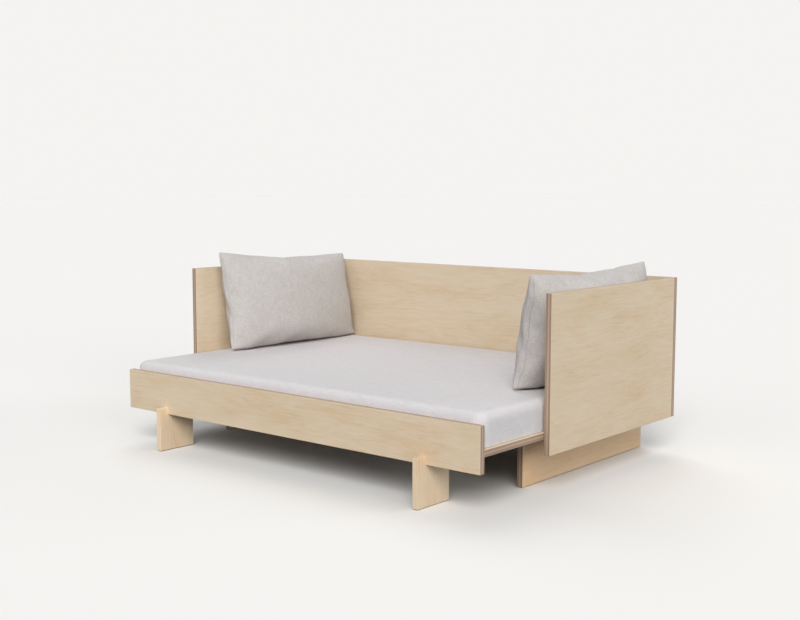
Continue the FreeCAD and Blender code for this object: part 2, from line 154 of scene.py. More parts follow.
def new_finish(name):
    """A material with one Principled shader: returns it, its shader and its Object coordinates."""
    finish = bpy.data.materials.new(name)
    finish.use_nodes = True
    shader = finish.node_tree.nodes["Principled BSDF"]
    coordinates = finish.node_tree.nodes.new("ShaderNodeTexCoord")
    return finish, shader, Shade(coordinates.outputs["Object"])


def feed(shader, name, shade):
    shader.id_data.links.new(shade.socket, shader.inputs[name])


def mixed(mask, low, high):
    """Colour low where the mask is 0, high where it is 1."""
    sockets = {"Factor": mask, 6: low, 7: high}
    return mask.node("ShaderNodeMix", {"data_type": "RGBA"}, sockets, output=2)


# %% Patterns
NOISE_ROUGHNESS = 0.55
SEED_SHIFT = (1.0, 0.7, 1.3)


def noise(place, scale, detail=3.0, seed=0.0, turn=(0, 0, 0), output="Fac"):
    """Noise from 0 to 1 whose cells are 1 / scale long on each axis."""
    shift = [seed * share for share in SEED_SHIFT]
    sockets = {"Vector": place, "Scale": scale, "Location": shift, "Rotation": turn}
    stretched = place.node("ShaderNodeMapping", None, sockets)
    sockets = {"Vector": stretched, "Scale": 1.0, "Detail": detail, "Roughness": NOISE_ROUGHNESS}
    return place.node("ShaderNodeTexNoise", None, sockets, output)


def step(value, low, high):
    """Rises smoothly from 0 to 1 between two values."""
    sockets = {0: value, 1: low, 2: high}
    return value.node("ShaderNodeMapRange", {"interpolation_type": "SMOOTHSTEP"}, sockets)


def axis_of(place, axis):
    return place.node("ShaderNodeSeparateXYZ", None, {0: place}, output=axis)


def bumped(shader, height, strength, distance):
    sockets = {"Height": height, "Strength": strength, "Distance": distance}
    feed(shader, "Normal", height.node("ShaderNodeBump", None, sockets))


# %% [markdown]
# ## Birch plywood
# The boards are 27 mm birch plywood with a clear matt oil. Two things make it read as plywood. The
# faces are one thin veneer each, pale straw with long soft streaks and a few warmer wisps along the
# grain. The cut edges show the stack: thin layers whose grain runs in turn along and across the board,
# so that they are light, dark, light, dark, and browner than the face as end grain takes more oil.
# One rule gives both. The distance of a point from the board's middle plane says which layer it lies
# in, and the outermost layer is the face. So the material only needs to know the board's thin axis.

# %% Veneer tones
FACE_PALE = srgb(233, 215, 189)
FACE_DEEP = srgb(223, 202, 170)
FACE_WARM = srgb(219, 186, 146)
FACE_FLECK = srgb(207, 167, 121)
PLAIN = (1.0, 1.0, 1.0)


def tinted(colour, painted_light_and_stitch_tint):
    return tuple(level * share for level, share in zip(colour, (*painted_light_and_stitch_tint, 1.0)))


print("plain face", [round(level, 3) for level in FACE_PALE[:3]])

# %% Veneer marks
GRAIN_DRIFT = 0.05
DRIFT_CELLS = (2.2, 5)
DRIFT_SEED = 23
VENEER_MARKS = {
    # mark: cells per metre along and across the grain, detail, shift of the board's seed
    "figure": (1.1, 9, 4.0, 0),
    "streak": (6, 85, 3.0, 3),
    "pores": (45, 900, 2.0, 5),
    "wisps": (5, 40, 4.0, 9),
    "flecks": (8, 300, 3.0, 15),
    "clusters": (3, 9, 3.0, 19),
}


def stretched_scale(grain, along, across):
    scale = [across, across, across]
    scale[grain] = along
    return scale


def wandering(place, grain, seed):
    """The same place, shifted a little to and fro along the board, so that the grain wanders."""
    cells = stretched_scale(grain, *DRIFT_CELLS)
    drift = noise(place, cells, 2.0, seed + DRIFT_SEED, output="Color")
    sockets = {0: drift, 1: (GRAIN_DRIFT, GRAIN_DRIFT, GRAIN_DRIFT), 2: place}
    return place.node("ShaderNodeVectorMath", {"operation": "MULTIPLY_ADD"}, sockets)


def draw_marks(marks, place, axis, seed, turn=(0, 0, 0)):
    """One noise for each row of a table of marks."""
    drawn = {}
    for mark, (along, across, detail, shift) in marks.items():
        drawn[mark] = noise(place, stretched_scale(axis, along, across), detail, seed + shift, turn)
    return drawn


print("marks in the veneer", list(VENEER_MARKS))

# %% Veneer colour
FIGURE_WEIGHT = 0.5
STREAK_WEIGHT = 0.7
PORE_WEIGHT = 0.4
WISP_WEIGHT = 0.45
CLUSTER_WEIGHT = 0.35
FLECK_WEIGHT = 0.32
LONE_FLECKS = 0.3
TONE_RANGE = (0.1, 0.9)
WISP_RANGE = (0.48, 0.85)
CLUSTER_RANGE = (0.48, 0.75)
CROWD_RANGE = (0.35, 0.65)
FLECK_RANGE = (0.42, 0.74)


def veneer_colour(place, grain, seed, turn, painted_light_and_stitch_tint):
    """Face veneer: broad figure, streaks and pores, with warm wisps and short warm flecks."""
    drawn = draw_marks(VENEER_MARKS, wandering(place, grain, seed), grain, seed, turn)
    tone = 0.5 + (drawn["figure"] - 0.5) * FIGURE_WEIGHT
    tone = tone + (drawn["streak"] - 0.5) * STREAK_WEIGHT
    tone = tone + (drawn["pores"] - 0.5) * PORE_WEIGHT
    # the tint scales all four veneer colours of a board to paint in the light and shade that board gets
    veneer = mixed(step(tone, *TONE_RANGE), tinted(FACE_PALE, painted_light_and_stitch_tint), tinted(FACE_DEEP, painted_light_and_stitch_tint))
    warm = step(drawn["wisps"], *WISP_RANGE) * WISP_WEIGHT
    warm = warm + step(drawn["clusters"], *CLUSTER_RANGE) * CLUSTER_WEIGHT
    veneer = mixed(warm, veneer, tinted(FACE_WARM, painted_light_and_stitch_tint))
    crowded = LONE_FLECKS + step(drawn["clusters"], *CROWD_RANGE)
    flecked = step(drawn["flecks"], *FLECK_RANGE) * crowded * FLECK_WEIGHT
    return mixed(flecked, veneer, tinted(FACE_FLECK, painted_light_and_stitch_tint)), drawn["streak"], drawn["pores"]


# %% Layered edge
LAYER = 0.0019
LAYER_BORDER = (0.25, 0.75)
LAYER_RIPPLE = 0.0008
CORE_HALF = 0.003
CORE_SOFTNESS = 0.5
EDGE_LIGHT = srgb(192, 171, 151)
EDGE_DARK = srgb(147, 117, 95)
EDGE_RANGE = (-0.1, 1.1)
EDGE_MARKS = {
    # mark: cells per metre across the layers and along them, detail, shift of the board's seed
    "ripple": (30, 30, 2.0, 11),
    "patches": (60, 3, 1.0, 17),
    "fibres": (260, 260, 2.0, 13),
}
CORE_SHADE = 0.2
BAND_WEIGHT = 0.5
LAYER_WEIGHT = 0.2
PATCH_WEIGHT = 0.6
FIBRE_WEIGHT = 0.4


def layers(level, thickness):
    """0 and 1 in turn, layer by layer, with soft borders."""
    turn = level.calculate("PINGPONG", level, thickness) / thickness
    return step(turn, *LAYER_BORDER)


def edge_colour(place, thin, middle, seed):
    """Cut edge: thin layers, light and dark in turn, and a light core between two darker bands."""
    drawn = draw_marks(EDGE_MARKS, place, thin, seed)
    level = axis_of(place, thin) - middle + (drawn["ripple"] - 0.5) * LAYER_RIPPLE
    off_core = step(abs(level), CORE_HALF * (1 - CORE_SOFTNESS), CORE_HALF * (1 + CORE_SOFTNESS))
    shade = CORE_SHADE + off_core * BAND_WEIGHT + (layers(level, LAYER) - 0.5) * LAYER_WEIGHT
    shade = shade + (drawn["patches"] - 0.5) * PATCH_WEIGHT + (drawn["fibres"] - 0.5) * FIBRE_WEIGHT
    return mixed(step(shade, *EDGE_RANGE), EDGE_LIGHT, EDGE_DARK)


print("marks in the edge", list(EDGE_MARKS))

# %% Whole board
BOARD_THICKNESS = 0.027
VENEER = 0.0012
VENEER_SOFTNESS = 0.1
OIL_ROUGHNESS = 0.5
OIL_SWING = 0.25
OIL_SPECULAR = 0.3
STREAK_RELIEF = 0.4
PORE_RELIEF = 0.6
WOOD_BUMP = (0.25, 0.0004)


def plywood(name, thin, middle, grain, seed, turn=0.0, painted_light_and_stitch_tint=PLAIN, banded=False):
    """Oiled plywood for one board; a banded board has veneer on its edges too."""
    finish, shader, place = new_finish(name)
    veneer, streak, pores = veneer_colour(place, grain, seed, (math.radians(turn), 0, 0), painted_light_and_stitch_tint)
    colour = veneer
    if not banded:
        depth = BOARD_THICKNESS / 2 - abs(axis_of(place, thin) - middle)
        cut = step(depth, VENEER * (1 - VENEER_SOFTNESS), VENEER * (1 + VENEER_SOFTNESS))
        colour = mixed(cut, veneer, edge_colour(place, thin, middle, seed))
    feed(shader, "Base Color", colour)
    feed(shader, "Roughness", OIL_ROUGHNESS + (streak - 0.5) * OIL_SWING)
    shader.inputs["Specular IOR Level"].default_value = OIL_SPECULAR
    bumped(shader, streak * STREAK_RELIEF + pores * PORE_RELIEF, *WOOD_BUMP)
    return finish


print("layers in a board", round(BOARD_THICKNESS / LAYER))

# %% Dress the boards
X, Y, Z = 0, 1, 2


def dress(node, finish):
    """Gives a CAD node a material in place of its packed one."""
    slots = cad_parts[node].material_slots
    for slot in slots:
        slot.material = finish
    if not slots:
        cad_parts[node].data.materials.append(finish)


def middle_of(node, axis):
    low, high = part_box(node)
    return (low[axis] + high[axis]) / 2


# Each board's and leg's tint is painted light and shade on one and the same birch: it makes the legs
# lighter and the back panel, arms and rail darker, standing in for the light each board gets. On the base
# panels the warm cast is partly a warmer veneer and partly painted warm bounce light.
BOARDS = {
    # board: thin axis, grain axis, seed of its figure, slope of the grain in degrees, tint of painted
    # light and shade
    "back_panel": (Y, X, 1.0, 0.0, (0.85, 0.86, 0.88)),
    "left_arm_panel": (X, Y, 2.0, 3.0, (0.94, 0.95, 0.96)),
    "right_arm_panel": (X, Y, 7.0, 3.0, (0.9, 0.9, 0.89)),
    "left_base_panel": (X, Y, 4.0, 0.0, (1.07, 0.93, 0.8)),
    "right_base_panel": (X, Y, 5.0, 0.0, (1.07, 0.93, 0.8)),
    "front_rail": (Y, X, 6.0, 0.0, (0.96, 0.95, 0.94)),
    "front_cross_beam": (Y, X, 12.0, 0.0, PLAIN),
    "rear_cross_beam": (Y, X, 13.0, 0.0, PLAIN),
    "rear_ledger": (Y, X, 14.0, 0.0, PLAIN),
    "rail_ledger": (Y, X, 15.0, 0.0, PLAIN),
    "pullout_batten": (Z, X, 16.0, 0.0, PLAIN),
}
LEGS = {
    # leg: seed of its figure, tint of painted light and shade
    "left_front_leg": (8.0, (1.16, 1.12, 1.08)),
    "right_front_leg": (10.0, (1.04, 1.01, 0.98)),
}
for board, (thin, *figure) in BOARDS.items():
    dress(board, plywood(board + "_birch", thin, middle_of(board, thin), *figure))
for leg, (seed, painted_light_and_stitch_tint) in LEGS.items():
    dress(leg, plywood(leg + "_birch", X, middle_of(leg, X), Z, seed, 0.0, painted_light_and_stitch_tint, banded=True))

slats = [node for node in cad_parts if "_slat_" in node and "screws" not in node]
slat_birch = plywood("slat_birch", Z, middle_of(slats[0], Z), Y, 18.0)
for slat in slats:
    dress(slat, slat_birch)
print("plywood boards", len(BOARDS) + len(LEGS), "slats", len(slats))

# %% [markdown]
# ## Steel and felt
# The screws and the angle brackets are zinc-plated steel: grey, fairly smooth, with a faint cloudy
# pattern. The pads under the panels are pressed wool felt in its own sandy colour, with no gloss and a
# fibrous surface.

# %% Hardware finishes
STEEL_CLOUDS = (90, 90, 90)
STEEL_DULL = srgb(176, 178, 180)
STEEL_BRIGHT = srgb(206, 207, 206)
STEEL_ROUGHNESS = 0.28
STEEL_SWING = 0.2
FELT_FIBRES = (700, 700, 700)
FELT_DEEP = srgb(138, 122, 104)
FELT_PALE = srgb(176, 160, 138)
FELT_BUMP = (0.6, 0.0006)


def plated_steel():
    finish, shader, place = new_finish("plated_steel")
    clouds = noise(place, STEEL_CLOUDS, 4.0)
    feed(shader, "Base Color", mixed(clouds, STEEL_DULL, STEEL_BRIGHT))
    feed(shader, "Roughness", STEEL_ROUGHNESS + clouds * STEEL_SWING)
    shader.inputs["Metallic"].default_value = 1.0
    return finish


def pressed_felt():
    finish, shader, place = new_finish("pressed_felt")
    fibres = noise(place, FELT_FIBRES, 4.0)
    feed(shader, "Base Color", mixed(fibres, FELT_DEEP, FELT_PALE))
    shader.inputs["Roughness"].default_value = 1.0
    bumped(shader, fibres, *FELT_BUMP)
    return finish


steel = plated_steel()
felt = pressed_felt()
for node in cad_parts:
    if "screws" in node or "brackets" in node:
        dress(node, steel)
    if "felt" in node:
        dress(node, felt)
print("finishes", steel.name, felt.name)

# %% [markdown]
# ## Linen
# Mattress and pillows are covered in a plain-woven linen mix: light warm grey on the mattress, a shade
# darker and rougher on the pillows. Seen from a step away the threads blur, and what is left are the
# slubs, short stretches where a yarn is thicker, lying along both thread directions. On the mattress
# the threads follow the Object coordinates, so it needs no unwrapping. On the pillows they follow the
# cloth: each point remembers where it lay on the flat blank, in an attribute, and how far from the seam.

# %% Linen
SLUB_CELLS = (34, 190)
SLUB_WEIGHT = 2.4
CLOUD_CELLS = (24, 24, 24)
CLOUD_WEIGHT = 0.35
LINEN_RANGE = (0.1, 0.9)
THREAD_RELIEF = 0.35
LINEN_BUMP = (0.35, 0.0007)
LINEN_ROUGHNESS = 0.95
LINEN_SPECULAR = 0.15
LINEN_SHEEN = 0.08
STITCH_INSET = 0.017
STITCH_WIDTH = 0.0022
STITCH_CORE = 0.4
STITCH_TINT = (0.62, 0.62, 0.62)
STITCH_WEIGHT = 0.5
STITCH_DEPTH = 2.5


def attribute_of(shade, name, output):
    return shade.node("ShaderNodeAttribute", {"attribute_name": name}, output=output)


def woven(name, pale, dark, pitch, contrast, on_blank=False):
    """Plain weave of two close colours; on the blank of a pillow it has a stitched line too."""
    finish, shader, place = new_finish(name)
    if on_blank:
        seam_gap = attribute_of(place, "seam_gap", "Fac")
        place = attribute_of(place, "blank_place", "Vector")
    slubs = 0.0
    for axis in (X, Y, Z):
        slubs = noise(place, stretched_scale(axis, *SLUB_CELLS), 3.0, seed=axis * 4.0) + slubs
    clouds = noise(place, CLOUD_CELLS, 2.0, seed=21)
    tone = 0.5 + (slubs / 3 - 0.5) * contrast * SLUB_WEIGHT
    tone = tone + (clouds - 0.5) * contrast * CLOUD_WEIGHT
    colour = mixed(step(tone, *LINEN_RANGE), pale, dark)
    threads = []
    for axis in (X, Y, Z):
        along = axis_of(place, axis) * (2 * math.pi / pitch)
        threads.append(along.calculate("SINE", along, 0.0))
    weave = threads[0] * threads[1] + threads[1] * threads[2] + threads[2] * threads[0]
    relief = weave * THREAD_RELIEF + slubs
    if on_blank:
        stitch = 1 - step(abs(seam_gap - STITCH_INSET), STITCH_WIDTH * STITCH_CORE, STITCH_WIDTH)
        colour = mixed(stitch * STITCH_WEIGHT, colour, tinted(dark, STITCH_TINT))
        relief = relief - stitch * STITCH_DEPTH
    feed(shader, "Base Color", colour)
    bumped(shader, relief, *LINEN_BUMP)
    shader.inputs["Roughness"].default_value = LINEN_ROUGHNESS
    shader.inputs["Specular IOR Level"].default_value = LINEN_SPECULAR
    shader.inputs["Sheen Weight"].default_value = LINEN_SHEEN
    return finish


mattress_linen = woven("mattress_linen", srgb(222, 218, 218), srgb(205, 200, 199), 0.0022, 0.6)
pillow_linen = woven("pillow_linen", srgb(201, 196, 192), srgb(180, 174, 169), 0.0026, 0.9, True)
print("finishes", mattress_linen.name, pillow_linen.name)

# %% [markdown]
# ## The mattress
# The mattress is foam in a fitted cover, cut across into a seat section and a back section. The top is
# slightly crowned and its rim is softly round; at the cut the two sections meet as one surface. Each
# section starts as a flat grid that is extruded up in courses, which keeps all cells about equal, and
# is then rounded by moving the vertices: how far a vertex lies from the outline and from the top says
# where it belongs on the rim's arc. Extruding leaves edges and faces in a new order on every run, so a
# fresh block is first rebuilt in the order of its places, and every run gives the same mesh.

# %% Points in a fixed order
PLACE_DIGITS = 7


def points_of(piece):
    flat = np.empty(len(piece.data.vertices) * 3)
    piece.data.vertices.foreach_get("co", flat)
    return flat.reshape(-1, 3)


def set_points(piece, points):
    piece.data.vertices.foreach_set("co", np.asarray(points).ravel())
    piece.data.update()


def in_fixed_order(piece):
    """Rebuilds a mesh with its points, edges and faces sorted by place."""
    rough = piece.data
    places = points_of(piece).round(PLACE_DIGITS)
    order = np.lexsort((places[:, Z], places[:, Y], places[:, X]))
    rank = np.argsort(order)
    faces = []
    for face in rough.polygons:
        corners = [int(rank[corner]) for corner in face.vertices]
        first = corners.index(min(corners))
        faces.append(corners[first:] + corners[:first])
    piece.data = bpy.data.meshes.new(piece.name)
    piece.data.from_pydata(places[order].tolist(), [], sorted(faces))
    bpy.data.meshes.remove(rough)
    sorter = bmesh.new()
    sorter.from_mesh(piece.data)
    sorter.edges.sort(key=lambda edge: edge.verts[0].index * len(places) + edge.verts[1].index)
    sorter.to_mesh(piece.data)
    sorter.free()


# %% Even block
def extruded_grid(name, low, high, cell):
    """A closed block of even cells between two corners."""
    size = Vector(high) - Vector(low)
    counts = [max(2, round(length / cell)) for length in size]
    bpy.ops.object.select_all(action="DESELECT")
    bpy.ops.mesh.primitive_grid_add(x_subdivisions=counts[X], y_subdivisions=counts[Y], size=1)
    block = bpy.context.object
    block.name = name
    block.scale = (size.x, size.y, 1)
    block.location = ((low[X] + high[X]) / 2, (low[Y] + high[Y]) / 2, low[Z])
    bpy.ops.object.transform_apply(location=True, rotation=False, scale=True)
    bpy.ops.object.mode_set(mode="EDIT")
    bpy.ops.mesh.select_all(action="SELECT")
    for course in range(counts[Z]):
        rise = {"value": (0, 0, size.z / counts[Z])}
        bpy.ops.mesh.extrude_region_move(TRANSFORM_OT_translate=rise)
    bpy.ops.mesh.select_all(action="SELECT")
    bpy.ops.mesh.normals_make_consistent(inside=False)
    bpy.ops.object.mode_set(mode="OBJECT")
    in_fixed_order(block)
    print(name, counts, "cells")
    return block


# %% Round rims
FAR_OUT = 9.0
ON_SKIN = 1e-6
NO_LENGTH = 1e-9


def round_corners(points, low, high, radius, ends):
    """Rounds the plan's corners at the Y ends named; returns how far inside a point is and its way out."""
    inner_low = np.array([low[X] + radius, low[Y] + radius if ends[0] else -FAR_OUT])
    inner_high = np.array([high[X] - radius, high[Y] - radius if ends[1] else FAR_OUT])
    plan = points[:, :2]
    core = np.clip(plan, inner_low, inner_high)
    off = plan - core
    reach = np.abs(off).max(axis=1)
    length = np.linalg.norm(off, axis=1)
    scale = np.where(length > NO_LENGTH, reach / np.maximum(length, NO_LENGTH), 1.0)
    points[:, :2] = core + off * scale[:, None]
    headings = off / np.maximum(length, NO_LENGTH)[:, None]
    way_out = np.where(length[:, None] > NO_LENGTH, headings, 0.0)
    return radius - reach, way_out


def round_rim(points, inside, way_out, level, radius, upward):
    """Bends the rim at a level onto an arc; inside is the distance to the outline."""
    depth = (level - points[:, Z]) * upward
    near = (inside < radius) & (depth < radius)
    path = np.where(depth < ON_SKIN, radius - inside, radius + depth)
    angle = np.clip(path / (2 * radius), 0, 1) * math.pi / 2
    drawn_in = radius - radius * np.sin(angle)
    drop = radius - radius * np.cos(angle)
    on_skin = near & ((depth < ON_SKIN) | (inside < ON_SKIN))
    points[on_skin, :2] -= way_out[on_skin] * (drawn_in - np.maximum(inside, 0))[on_skin, None]
    points[on_skin, Z] = level - upward * drop[on_skin]


# %% Mattress sizes
SLAT_CLEARANCE = 0.0006
seat_low, seat_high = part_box("seat_mattress_cover")
back_low, back_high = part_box("back_mattress_cover")
seat_low = seat_low + Vector((0, 0, SLAT_CLEARANCE))
back_low = back_low + Vector((0, 0, SLAT_CLEARANCE))
back_high = back_high - Vector((0, SLAT_CLEARANCE, 0))
COVER_RISE = 0.005
MATTRESS_CROWN = 0.002
flat_top = seat_high.z - COVER_RISE
print("mattress top at", round(flat_top, 4))


def crown(points):
    """Rise of the mattress top, alike along the whole way that it slides under the pillows."""
    return MATTRESS_CROWN * (1 - np.clip(points[:, X] / seat_high.x, -1, 1) ** 2)


# %% Seat section
MATTRESS_CELL = 0.0125
RIM_RADIUS = 0.034
HEM_RADIUS = 0.004
CORNER_RADIUS = 0.045
SEAM_CLOSE = 0.0005


def seat_mattress():
    """The front section: round corners and rim, a small hem below, and a square end at the cut."""
    top = Vector((seat_high.x, seat_high.y + SEAM_CLOSE, flat_top))
    block = extruded_grid("seat_mattress", seat_low, top, MATTRESS_CELL)
    points = points_of(block)
    inside, way_out = round_corners(points, seat_low, seat_high, CORNER_RADIUS, (True, False))
    round_rim(points, inside, way_out, flat_top, RIM_RADIUS, 1)
    round_rim(points, inside, way_out, seat_low.z, HEM_RADIUS, -1)
    share = (points[:, Z] - seat_low.z) / (flat_top - seat_low.z)
    points[:, Z] += crown(points) * np.clip(share, 0, 1)
    set_points(block, points)
    return block


seat = seat_mattress()

# %% Back section
BACK_BEVEL = math.radians(38)
BEVEL_FADE = 3


def back_mattress():
    """The back section: its rear end is fully round, and its cut slopes so that it can fold up."""
    foot = back_low - Vector((0, SEAM_CLOSE, 0))
    top = Vector((back_high.x, back_high.y, flat_top))
    block = extruded_grid("back_mattress", foot, top, MATTRESS_CELL)
    points = points_of(block)
    height = flat_top - back_low.z
    start = points.copy()
    inside, way_out = round_corners(points, back_low, back_high, RIM_RADIUS, (False, True))
    round_rim(points, inside, way_out, flat_top, RIM_RADIUS, 1)
    round_rim(points, inside, way_out, back_low.z, RIM_RADIUS, -1)
    share = np.clip((points[:, Z] - back_low.z) / height, 0, 1)
    points[:, Z] += crown(points) * share
    bevel = height * math.tan(BACK_BEVEL)
    ahead = (back_high.y - start[:, Y]) / (back_high.y - back_low.y)
    points[:, Y] += (1 - share) * bevel * ahead ** BEVEL_FADE
    set_points(block, points)
    return block


back = back_mattress()

# %% Cover the sections
SMOOTH_ANGLE = math.radians(50)

for piece, body, nodes in (
        (seat, "pullout", ("seat_mattress_foam", "seat_mattress_cover")),
        (back, "back_section", ("back_mattress_foam", "back_mattress_cover"))):
    piece.data.materials.append(mattress_linen)
    bpy.ops.object.select_all(action="DESELECT")
    piece.select_set(True)
    bpy.context.view_layer.objects.active = piece
    bpy.ops.object.shade_smooth_by_angle(angle=SMOOTH_ANGLE)
    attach(piece, body)
    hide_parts(*nodes)
    print(piece.name, len(piece.data.polygons), "faces")

# %% [markdown]
# ## The pillows
# A pillow is two flat panels sewn together along all four sides and then filled. That is also the best
# way to model it: lay the blank out flat, let cloth simulation push it out from inside, and the long
# sides draw in, the corners stay pointed and the seam puckers by itself. The blank is two courses deep,
# so its middle ring is the seam. Before it is filled, each point notes its place on the blank.

# %% Cut the blank
PILLOW_PANEL = (0.92, 0.535)
PILLOW_CELLS = (60, 34)
SEAM_DEPTH = 0.007
ON_RIM = 1e-5
FAR_PANEL = 3.0


def note_blank_place(blank):
    """Keeps each point's place on the flat cloth and its distance from the end seams."""
    points = points_of(blank)
    half = np.array(PILLOW_PANEL) / 2
    past_panel = SEAM_DEPTH - np.abs(points[:, Z])
    on_rim = np.abs(points[:, :2]) > half - ON_RIM
    spread = points[:, :2] + np.sign(points[:, :2]) * on_rim * past_panel[:, None]
    places = np.column_stack([spread, np.where(points[:, Z] < 0, FAR_PANEL, 0.0)])
    gap = half[X] + SEAM_DEPTH - np.abs(spread[:, X])
    places_layer = blank.data.attributes.new("blank_place", "FLOAT_VECTOR", "POINT")
    places_layer.data.foreach_set("vector", places.ravel())
    gap_layer = blank.data.attributes.new("seam_gap", "FLOAT", "POINT")
    gap_layer.data.foreach_set("value", gap)


def pillow_blank(name):
    """The flat blank: panel length along X, height along Y, two courses deep along Z."""
    bpy.ops.object.select_all(action="DESELECT")
    columns, rows = PILLOW_CELLS
    bpy.ops.mesh.primitive_grid_add(x_subdivisions=columns, y_subdivisions=rows, size=1)
    blank = bpy.context.object
    blank.name = name
    blank.scale = (*PILLOW_PANEL, 1)
    blank.location = (0, 0, -SEAM_DEPTH)
    bpy.ops.object.transform_apply(location=True, rotation=False, scale=True)
    bpy.ops.object.mode_set(mode="EDIT")
    bpy.ops.mesh.select_all(action="SELECT")
    for course in range(2):
        bpy.ops.mesh.extrude_region_move(TRANSFORM_OT_translate={"value": (0, 0, SEAM_DEPTH)})
    bpy.ops.mesh.select_all(action="SELECT")
    bpy.ops.mesh.normals_make_consistent(inside=False)
    bpy.ops.object.mode_set(mode="OBJECT")
    in_fixed_order(blank)
    note_blank_place(blank)
    return blank


print("panel", PILLOW_PANEL, "cells", PILLOW_CELLS)

# %% Fill it
FILL_FRAMES = 16
FILL_PRESSURE = 3
CLOTH_QUALITY = 6
CLOTH_STIFFNESS = 60
SHEAR_STIFFNESS = 20
CLOTH_DAMPING = 25
AIR_DAMPING = 5


def fill_pillow(blank):
    """Swells the blank by cloth simulation and keeps the result."""
    cloth = blank.modifiers.new("filling", "CLOTH")
    cloth.settings.quality = CLOTH_QUALITY
    cloth.settings.air_damping = AIR_DAMPING
    for stretch in ("tension", "compression"):
        setattr(cloth.settings, stretch + "_stiffness", CLOTH_STIFFNESS)
        setattr(cloth.settings, stretch + "_damping", CLOTH_DAMPING)
    cloth.settings.shear_stiffness = SHEAR_STIFFNESS
    cloth.settings.shear_damping = CLOTH_DAMPING
    cloth.settings.use_pressure = True
    cloth.settings.uniform_pressure_force = FILL_PRESSURE
    cloth.settings.effector_weights.gravity = 0
    cloth.point_cache.frame_start = 1
    cloth.point_cache.frame_end = FILL_FRAMES
    for number in range(1, FILL_FRAMES + 1):
        bpy.context.scene.frame_set(number)
    bpy.ops.object.modifier_apply(modifier=cloth.name)
    bpy.context.scene.frame_set(1)
    print("filled blank", np.ptp(points_of(blank), axis=0).round(3))


# %% [markdown]
# The simulated cover draws in more than soft linen does, and its folds are sharper. So a part of each
# side's dip is taken back, the end seams get a slight wander, and the folds are relaxed before a
# subdivision rounds the whole. The seam's edges are creased first, so that the seam stays a line.

# %% Seam
SEAM_CREASE = 0.7


def seam_ring(blank):
    """The points of the middle ring, where the two panels are sewn together."""
    flat = points_of(blank)
    return np.abs(flat[:, Z]) < ON_SKIN


def crease_seam(pillow, ring):
    """Marks the seam's edges, so that subdivision keeps them crisp."""
    layer = pillow.data.attributes.new("crease_edge", "FLOAT", "EDGE")
    for edge in pillow.data.edges:
        first, second = edge.vertices
        if ring[first] and ring[second]:
            layer.data[edge.index].value = SEAM_CREASE


# %% Drawn-in sides
PILLOW_SIZE = (0.878, 0.474, 0.235)
CORNER_MARGIN = 0.03
NEAR_SIDE = 0.3
EASE_FADE = 1.5
EASED_SIDES = (
    # axis, side, share of the dip that is kept, reach into the panel
    (Y, -1, 0.35, 0.16),
    (Y, 1, 0.5, 0.3),
    (X, -1, 0.5, 0.3),
    (X, 1, 0.5, 0.3),
)


def fit_size(points, size):
    """Scales points about their middle to an exact box."""
    low, high = points.min(axis=0), points.max(axis=0)
    return (points - (low + high) / 2) * np.array(size) / (high - low)


def straighten(points, ring, axis, side, keep, reach):
    """Eases the dip of one side of the seam until only a share of it is left."""
    across = 1 - axis
    half = PILLOW_SIZE[across] / 2 - CORNER_MARGIN
    outward = points[:, axis] * side
    between_corners = np.abs(points[:, across]) < half
    on_side = ring & (outward > NEAR_SIDE * PILLOW_SIZE[axis]) & between_corners
    order = np.argsort(points[on_side, across])
    seam = np.interp(points[:, across], points[on_side, across][order], outward[on_side][order])
    dip = np.maximum(outward.max() - seam, 0) * (1 - keep)
    share = np.clip(1 - (seam - outward) / reach, 0, 1)
    points[:, axis] += side * dip * share ** EASE_FADE


# %% Wander and folds
SEAM_RIPPLE = 0.006
RIPPLE_SLOPE = 10
RIPPLE_START = 4
# weight, rate per metre and start of each wave
RIPPLES = ((1.0, 47, 1), (0.6, 89, 2))
SEAM_YIELD = 0.5
FOLD_FACTOR = 0.5
FOLD_SOFTENING = 10


def ripple_ends(points):
    """Lets the end seams wander a little, as they do in soft cloth."""
    out = np.abs(points[:, X]) / PILLOW_SIZE[X]
    near_end = np.clip(out * RIPPLE_SLOPE - RIPPLE_START, 0, 1) ** 2
    wave = sum(weight * np.sin(points[:, Y] * rate + start) for weight, rate, start in RIPPLES)
    points[:, Z] += SEAM_RIPPLE * near_end * wave


def soften_folds(pillow, ring):
    """Relaxes the sharp folds of the filling; the seam itself yields less."""
    panels = pillow.vertex_groups.new(name="panels")
    panels.add(np.flatnonzero(~ring).tolist(), 1.0, "REPLACE")
    panels.add(np.flatnonzero(ring).tolist(), SEAM_YIELD, "REPLACE")
    relax = pillow.modifiers.new("relax", "SMOOTH")
    relax.factor = FOLD_FACTOR
    relax.iterations = FOLD_SOFTENING
    relax.vertex_group = panels.name
    bpy.ops.object.modifier_apply(modifier=relax.name)


# %% One filled pillow
SMOOTH_LEVELS = 2


def filled_pillow(name):
    """One filled pillow, lying flat about the origin."""
    pillow = pillow_blank(name)
    ring = seam_ring(pillow)
    crease_seam(pillow, ring)
    fill_pillow(pillow)
    points = fit_size(points_of(pillow), PILLOW_SIZE)
    for eased_side in EASED_SIDES:
        straighten(points, ring, *eased_side)
    ripple_ends(points)
    set_points(pillow, points)
    soften_folds(pillow, ring)
    smoother = pillow.modifiers.new("smoother", "SUBSURF")
    smoother.levels = SMOOTH_LEVELS
    smoother.render_levels = SMOOTH_LEVELS
    bpy.ops.object.modifier_apply(modifier=smoother.name)
    bpy.ops.object.shade_smooth()
    pillow.data.materials.append(pillow_linen)
    return pillow


left_pillow = filled_pillow("left_pillow")
right_pillow = left_pillow.copy()
right_pillow.data = left_pillow.data.copy()
right_pillow.name = "right_pillow"
bpy.context.scene.collection.objects.link(right_pillow)
print("pillow", len(left_pillow.data.polygons), "faces")

